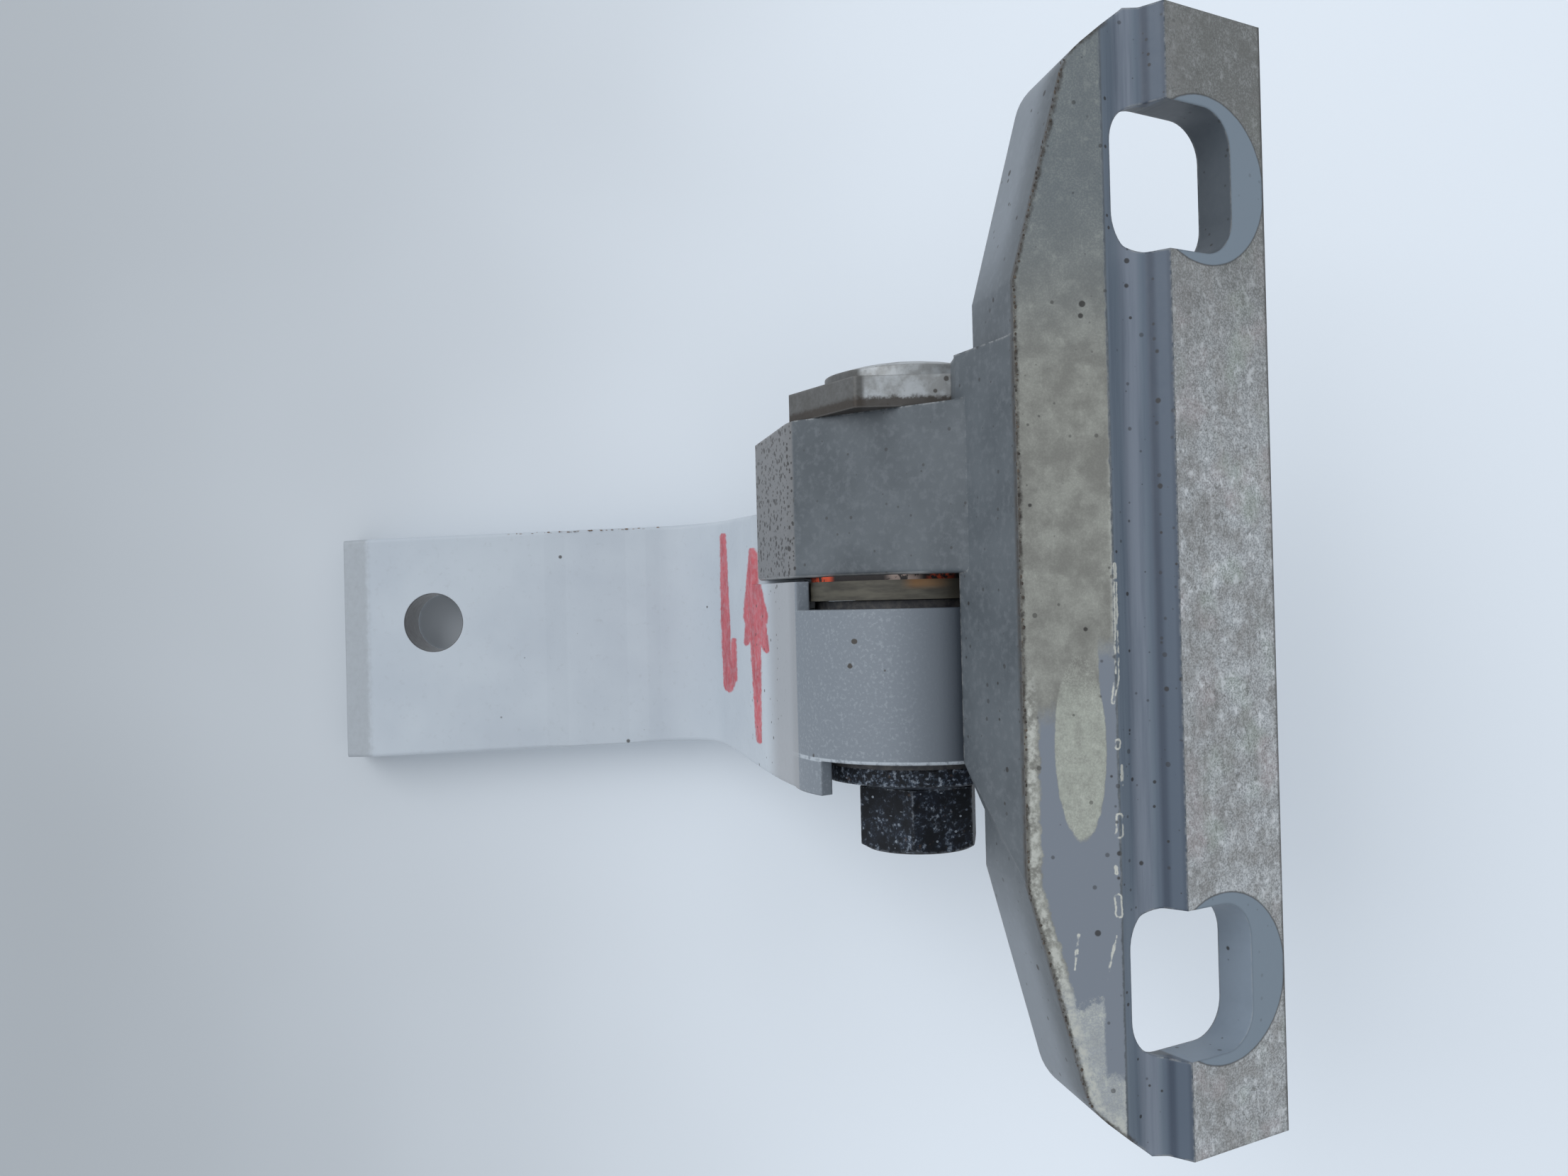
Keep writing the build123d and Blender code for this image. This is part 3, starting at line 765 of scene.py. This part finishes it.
# both bushes: dark oiled steel
bushLook = {
    "steel": srgb(46, 46, 50),
    "steelPale": srgb(78, 76, 74),
}


def bushDark(p):
    f = Finish("bushDark")
    fine = f.noise(0.8, 4, 0.6)
    color = f.tone(f.fade(fine, 0.35, 0.7), p["steel"], p["steelPale"])
    return f.finish(color, f.level(fine, 0.35, 0.6), 0.3, f.bump(fine, 0.25, 0.04))


# seal above the washer: nearly black, red and pale where it is torn
sealLook = {
    "dark": srgb(26, 20, 20),
    "red": srgb(190, 70, 36),
    "pale": srgb(132, 118, 112),
    "leftEnd": (-34.0, -33.2),
    "paleSpan": (-27.5, -24.0),
    "redSpan": (-23.0, -20.5),
}


def sealRubber(p):
    f = Finish("sealRubber")
    shreds = f.noise(1.3, 4, 0.65, shift=9.0)
    ends = f.most(f.under(f.x, *p["leftEnd"]), f.band(f.x, *p["redSpan"], 0.6))
    middle = f.band(f.x, *p["paleSpan"], 0.6)
    color = f.lay(p["dark"], p["pale"], middle, f.fade(shreds, 0.42, 0.5))
    color = f.lay(color, p["red"], ends, f.fade(shreds, 0.4, 0.5))
    return f.finish(color, f.level(shreds, 0.55, 0.85), 0.0, f.bump(shreds, 0.5, 0.1))


dress("hinge_pin", pinZinc(pinLook))
dress("retaining_bolt", boltBlack(boltLook))
dress("thrust_washer", washerBronze(washerLook))
bushFinish = bushDark(bushLook)
dress("upper_bush", bushFinish)
dress("lower_bush", bushFinish)
dress("seal_washer", sealRubber(sealLook))
print("pivot pieces finished")

# what each crumb tree asks for
crumbSockets = {
    "Amount": "NodeSocketFloat",
    "Spread": "NodeSocketVector",
    "Least": "NodeSocketVector",
    "Most": "NodeSocketVector",
    "Seed": "NodeSocketInt",
    "Finish": "NodeSocketMaterial",
}


def socketOf(tree, name):
    for item in tree.interface.items_tree:
        if item.item_type == "SOCKET" and item.in_out == "INPUT" and item.name == name:
            return item.identifier


def crumbTree(name, alongPath):
    # crumbs on the faces of a mesh, or along a line of edges
    tree = bpy.data.node_groups.new(name, "GeometryNodeTree")
    face = tree.interface
    face.new_socket("Geometry", in_out="INPUT", socket_type="NodeSocketGeometry")
    for label, kind in crumbSockets.items():
        face.new_socket(label, in_out="INPUT", socket_type=kind)
    face.new_socket("Geometry", in_out="OUTPUT", socket_type="NodeSocketGeometry")
    new = tree.nodes.new
    link = tree.links.new
    start = new("NodeGroupInput")
    place = new("GeometryNodeInstanceOnPoints")
    if alongPath:
        curve = new("GeometryNodeMeshToCurve")
        link(start.outputs["Geometry"], curve.inputs[0])
        points = new("GeometryNodeResampleCurve")
        link(curve.outputs[0], points.inputs["Curve"])
        link(start.outputs["Amount"], points.inputs["Count"])
        jitter = new("FunctionNodeRandomValue")
        jitter.data_type = "FLOAT_VECTOR"
        back = new("ShaderNodeVectorMath")
        back.operation = "SCALE"
        back.inputs["Scale"].default_value = -1
        link(start.outputs["Spread"], back.inputs[0])
        link(back.outputs[0], jitter.inputs[0])
        link(start.outputs["Spread"], jitter.inputs[1])
        link(start.outputs["Seed"], jitter.inputs["Seed"])
        shake = new("GeometryNodeSetPosition")
        link(points.outputs[0], shake.inputs["Geometry"])
        link(jitter.outputs[0], shake.inputs["Offset"])
        link(shake.outputs[0], place.inputs["Points"])
    else:
        points = new("GeometryNodeDistributePointsOnFaces")
        link(start.outputs["Geometry"], points.inputs["Mesh"])
        link(start.outputs["Amount"], points.inputs["Density"])
        link(start.outputs["Seed"], points.inputs["Seed"])
        link(points.outputs["Points"], place.inputs["Points"])
        link(points.outputs["Rotation"], place.inputs["Rotation"])
    crumb = new("GeometryNodeMeshIcoSphere")
    crumb.inputs["Radius"].default_value = 1.0
    crumb.inputs["Subdivisions"].default_value = 1
    size = new("FunctionNodeRandomValue")
    size.data_type = "FLOAT_VECTOR"
    link(start.outputs["Least"], size.inputs[0])
    link(start.outputs["Most"], size.inputs[1])
    link(start.outputs["Seed"], size.inputs["Seed"])
    link(crumb.outputs["Mesh"], place.inputs["Instance"])
    link(size.outputs[0], place.inputs["Scale"])
    solid = new("GeometryNodeRealizeInstances")
    link(place.outputs[0], solid.inputs[0])
    coat = new("GeometryNodeSetMaterial")
    link(solid.outputs[0], coat.inputs["Geometry"])
    link(start.outputs["Finish"], coat.inputs["Material"])
    end = new("NodeGroupOutput")
    link(coat.outputs[0], end.inputs[0])
    return tree


faceCrumbs = crumbTree("faceCrumbs", False)
edgeCrumbs = crumbTree("edgeCrumbs", True)


def crumbFinish(c):
    f = Finish(c["finish"])
    cloud = f.noise(c["blot"], 4, 0.65)
    fine = f.noise(c["blot"] * 0.3, 3, 0.6, shift=2.0)
    color = f.tone(f.fade(cloud, 0.35, 0.65), c["low"], c["high"])
    return f.finish(color, f.level(fine, 0.6, 0.9), 0.0, f.bump(fine, 0.4, 0.04))


def scatter(name, mesh, tree, crumbs, body):
    # run the node tree once and keep what it made as a plain mesh
    carrier = bpy.data.objects.new(name + "Carrier", mesh)
    scene.collection.objects.link(carrier)
    modifier = carrier.modifiers.new(name, "NODES")
    modifier.node_group = tree
    values = {
        "Amount": float(crumbs["amount"]),
        "Spread": tuple(v * mm for v in crumbs["spread"]),
        "Least": tuple(v * mm for v in crumbs["least"]),
        "Most": tuple(v * mm for v in crumbs["most"]),
        "Seed": crumbs["seed"],
        "Finish": crumbFinish(crumbs),
    }
    for label, value in values.items():
        modifier[socketOf(tree, label)] = value
    done = carrier.evaluated_get(bpy.context.evaluated_depsgraph_get())
    made = bpy.data.meshes.new_from_object(done)
    made.name = name
    carrier.modifiers.remove(modifier)
    bpy.data.objects.remove(carrier)
    piece = bpy.data.objects.new(name, made)
    scene.collection.objects.link(piece)
    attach(piece, body)
    print(name, len(made.polygons), "faces")


def pathMesh(name, points):
    mesh = bpy.data.meshes.new(name)
    corners = [tuple(v * mm for v in p) for p in points]
    mesh.from_pydata(corners, [(i, i + 1) for i in range(len(points) - 1)], [])
    return mesh


def facesOf(name, nodeName, wanted):
    # copy of the node's faces whose middle and normal are wanted, in millimetres
    data = bmesh.new()
    data.from_mesh(nodes[nodeName].data)
    rest = [face for face in data.faces if not wanted(face.calc_center_median() / mm, face.normal)]
    bmesh.ops.delete(data, geom=rest, context="FACES")
    mesh = bpy.data.meshes.new(name)
    data.to_mesh(mesh)
    data.free()
    return mesh


# white corrosion on the bolt's flange and head
boltCrust = {
    "amount": 190000.0,       # per square metre
    "spread": (0, 0, 0),
    "least": (0.06, 0.06, 0.02),
    "most": (0.26, 0.18, 0.06),
    "seed": 7,
    "finish": "boltBloom",
    "low": srgb(66, 76, 92),
    "high": srgb(138, 147, 157),
    "blot": 1.2,
    "below": -20.8,           # mm, faces of the head and flange only
    "upright": 0.6,           # and of those the sides
}


def onBoltSide(middle, normal):
    return middle.z < boltCrust["below"] and abs(normal.z) < boltCrust["upright"]


boltSides = facesOf("boltSides", "retaining_bolt", onBoltSide)
scatter("boltCrust", boltSides, faceCrumbs, boltCrust, "bracket")

# brown grit along the left edge of the seat
seatGrit = {
    "amount": 170,
    "spread": (0.16, 0.1, 0.3),
    "least": (0.04, 0.03, 0.05),
    "most": (0.17, 0.1, 0.24),
    "seed": 3,
    "finish": "gritBrown",
    "low": srgb(40, 35, 31),
    "high": srgb(84, 74, 64),
    "blot": 1.5,
    "path": [(-10.1, 0.02, 51.8), (-15.6, 0.02, 30.2), (-15.6, 0.02, -30.2), (-10.1, 0.02, -51.8)],
}
scatter("seatGrit", pathMesh("seatEdge", seatGrit["path"]), edgeCrumbs, seatGrit, "bracket")

# rust flakes on the arm's top edge
edgeRust = {
    "amount": 46,
    "spread": (0.7, 0.12, 0.06),
    "least": (0.06, 0.05, 0.03),
    "most": (0.32, 0.12, 0.1),
    "seed": 11,
    "finish": "rustBrown",
    "low": srgb(66, 48, 36),
    "high": srgb(120, 92, 66),
    "blot": 1.0,
    "path": [(-82.0, 61.38, 9.35), (-58.0, 61.38, 9.84)],
}
scatter("edgeRust", pathMesh("armTopEdge", edgeRust["path"]), edgeCrumbs, edgeRust, "arm")

# the table that the hinge lies on, seen from the front only
tableSet = {
    "behind": 68.35,          # mm, just behind the arm
    "half": 600.0,
    "color": srgb(228, 236, 245),
    "shade": srgb(162, 168, 174),
    "shadeSpan": (-145.0, 45.0),      # from the shaded left to the right
    "cloud": 90,
    "cloudReach": 60.0,
    "fadeMiddle": -40.0,
    "fadeSpan": (260.0, 420.0),
}


def addTable(t):
    mesh = bpy.data.meshes.new("table")
    h = t["half"] * mm
    y = t["behind"] * mm
    corners = [(-h, y, -h), (h, y, -h), (h, y, h), (-h, y, h)]
    mesh.from_pydata(corners, [], [(0, 1, 2, 3)])
    table = bpy.data.objects.new("table", mesh)
    scene.collection.objects.link(table)
    f = Finish("tablePaint")
    cloud = f.noise(t["cloud"], 2)
    fromLeft = f.fade(f.nudge(f.x, cloud, t["cloudReach"]), *t["shadeSpan"])
    f.finish(f.tone(fromLeft, t["shade"], t["color"]), f.level(cloud, 0.5, 0.7))
    tree = f.tree
    away = f.distance(f.sub(f.x, t["fadeMiddle"]), f.z)
    near = f.under(away, *t["fadeSpan"])
    path = tree.nodes.new("ShaderNodeLightPath")
    face = tree.nodes.new("ShaderNodeNewGeometry")
    shown = f.mul(f.mul(path.outputs["Is Camera Ray"], f.flip(face.outputs["Backfacing"])), near)
    clear = tree.nodes.new("ShaderNodeBsdfTransparent")
    mix = tree.nodes.new("ShaderNodeMixShader")
    tree.links.new(shown, mix.inputs[0])
    tree.links.new(clear.outputs[0], mix.inputs[1])
    tree.links.new(f.shader.outputs[0], mix.inputs[2])
    tree.links.new(mix.outputs[0], f.out.inputs[0])
    mesh.materials.append(f.mat)


addTable(tableSet)

# soft daylight: pale sky all round, one broad window from the left
lightSet = {
    "sky": (0.94, 0.97, 1.0, 1.0),
    "skyLevel": 0.8,
    "back": srgb(210, 217, 225),
    "windowPlace": (-0.85, -0.8, 0.55),   # metres
    "windowAim": (-0.03, 0.02, 0.0),
    "windowSize": 0.9,
    "windowPower": 7.0,
}


def addLight(s):
    world = bpy.data.worlds.new("paleSky")
    scene.world = world
    world.use_nodes = True
    tree = world.node_tree
    tree.nodes.clear()
    sky = tree.nodes.new("ShaderNodeBackground")
    sky.inputs["Color"].default_value = s["sky"]
    sky.inputs["Strength"].default_value = s["skyLevel"]
    back = tree.nodes.new("ShaderNodeBackground")
    back.inputs["Color"].default_value = s["back"]
    path = tree.nodes.new("ShaderNodeLightPath")
    seen = path.outputs["Is Camera Ray"]
    for ray in ("Is Glossy Ray", "Is Transmission Ray"):
        both = tree.nodes.new("ShaderNodeMath")
        both.operation = "MAXIMUM"
        tree.links.new(seen, both.inputs[0])
        tree.links.new(path.outputs[ray], both.inputs[1])
        seen = both.outputs[0]
    mix = tree.nodes.new("ShaderNodeMixShader")
    tree.links.new(seen, mix.inputs[0])
    tree.links.new(sky.outputs[0], mix.inputs[1])
    tree.links.new(back.outputs[0], mix.inputs[2])
    out = tree.nodes.new("ShaderNodeOutputWorld")
    tree.links.new(mix.outputs[0], out.inputs[0])
    data = bpy.data.lights.new("window", "AREA")
    data.size = s["windowSize"]
    data.energy = s["windowPower"]
    lamp = bpy.data.objects.new("window", data)
    scene.collection.objects.link(lamp)
    place = Vector(s["windowPlace"])
    aim = (Vector(s["windowAim"]) - place).to_track_quat("-Z", "Y")
    lamp.matrix_world = Matrix.Translation(place) @ aim.to_matrix().to_4x4()


addLight(lightSet)
print("table and daylight set")
